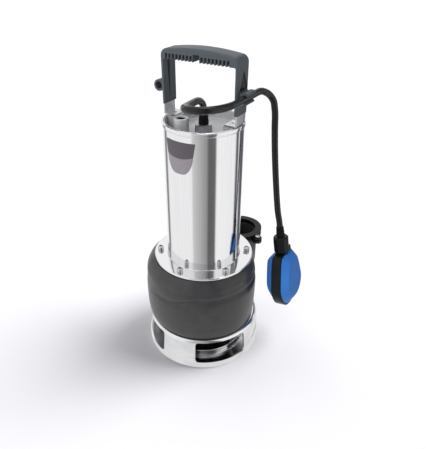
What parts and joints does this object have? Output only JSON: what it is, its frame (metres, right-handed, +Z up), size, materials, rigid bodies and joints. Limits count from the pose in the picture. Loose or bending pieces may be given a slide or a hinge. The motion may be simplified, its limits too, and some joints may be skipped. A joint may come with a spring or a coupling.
{
  "type": "submersible sump pump",
  "caption": "Upright submersible sump pump with a polished motor barrel, cast volute casing, strainer base, carrying handle and a float switch on a cable.",
  "frame": {"origin": "centre of the base plate's underside, on the shaft's axis, on the floor", "axes": "+Z up along the shaft, X along the handle, +Y towards the discharge"},
  "size_m": [0.2492, 0.2589, 0.5025],
  "materials": {
    "polished_steel": "polished stainless steel sheet",
    "brushed_steel": "satin stainless steel",
    "bright_steel": "bright turned steel",
    "black_casting": "satin black painted grey iron",
    "black_plastic": "matte",
    "rubber": "matte",
    "cable_rubber": "satin",
    "grip_plastic": "satin",
    "blue_plastic": "satin",
    "grey_nut": "satin",
    "plate_grey": "satin",
    "ceramic": "lapped",
    "lamination": "varnished",
    "copper": "varnished copper",
    "cast_metal": "as cast",
    "capacitor_grey": "matte"
  },
  "bodies": {
    "pump": {"base_plate": "polished_steel", "foot_pad": "rubber", "strainer_basket": "polished_steel", "suction_cover": "black_plastic", "pump_casing": "black_casting", "discharge_gasket": "rubber", "discharge_flange": "black_plastic", "flange_gasket": "rubber", "motor_flange": "brushed_steel", "motor_barrel": "polished_steel", "rim_ring": "polished_steel", "nameplate": "plate_grey", "seal_seat": "ceramic", "bearing_carrier": "cast_metal", "lower_bearing": "bright_steel", "upper_bearing": "bright_steel", "stator_core": "lamination", "winding_lower": "copper", "winding_upper": "copper", "bearing_bracket": "cast_metal", "capacitor": "capacitor_grey", "terminal_block": "black_plastic", "top_cover": "brushed_steel", "gland_nut": "grey_nut", "cable_boot": "rubber", "mains_inlet": "brushed_steel", "inlet_screw": "bright_steel", "strap_left": "brushed_steel", "strap_right": "brushed_steel", "strap_screw_left": "bright_steel", "strap_screw_right": "bright_steel", "handle_grip": "grip_plastic", "float_cable_loop": "cable_rubber", "tie_bolt_1": "bright_steel", "tie_bolt_2": "bright_steel", "tie_bolt_3": "bright_steel", "tie_bolt_4": "bright_steel", "discharge_screw_1": "bright_steel", "discharge_screw_2": "bright_steel", "flange_screw_1": "bright_steel", "flange_screw_2": "bright_steel", "flange_screw_3": "bright_steel", "flange_screw_4": "bright_steel", "flange_screw_5": "bright_steel", "flange_screw_6": "bright_steel"},
    "rotor": {"shaft": "bright_steel", "impeller": "black_plastic", "impeller_nut": "bright_steel", "seal_ring": "ceramic", "rotor_core": "lamination"},
    "float": {"float_cable_drop": "cable_rubber", "float_boot": "rubber", "float_gland_nut": "black_plastic", "float_band": "black_plastic", "float_shell_left": "blue_plastic", "float_shell_right": "blue_plastic", "switch_capsule": "black_plastic"},
    "ball": {"switch_ball": "bright_steel"}
  },
  "joints": [
    {"name": "rotor_spin", "type": "hinge", "parent": "pump", "child": "rotor", "pos_m": [0, 0, 0], "axis": [0, 0, 1], "continuous": true},
    {"name": "float_lift", "type": "hinge", "parent": "pump", "child": "float", "pos_m": [0.069, 0.01515, 0.4508], "axis": [1, 0, 0], "range_deg": [0, 120]},
    {"name": "ball_slide", "type": "slide", "parent": "float", "child": "ball", "axis": [-0.1838, 0.0366, 0.9823], "range_m": [0, 0.015]}
  ]
}
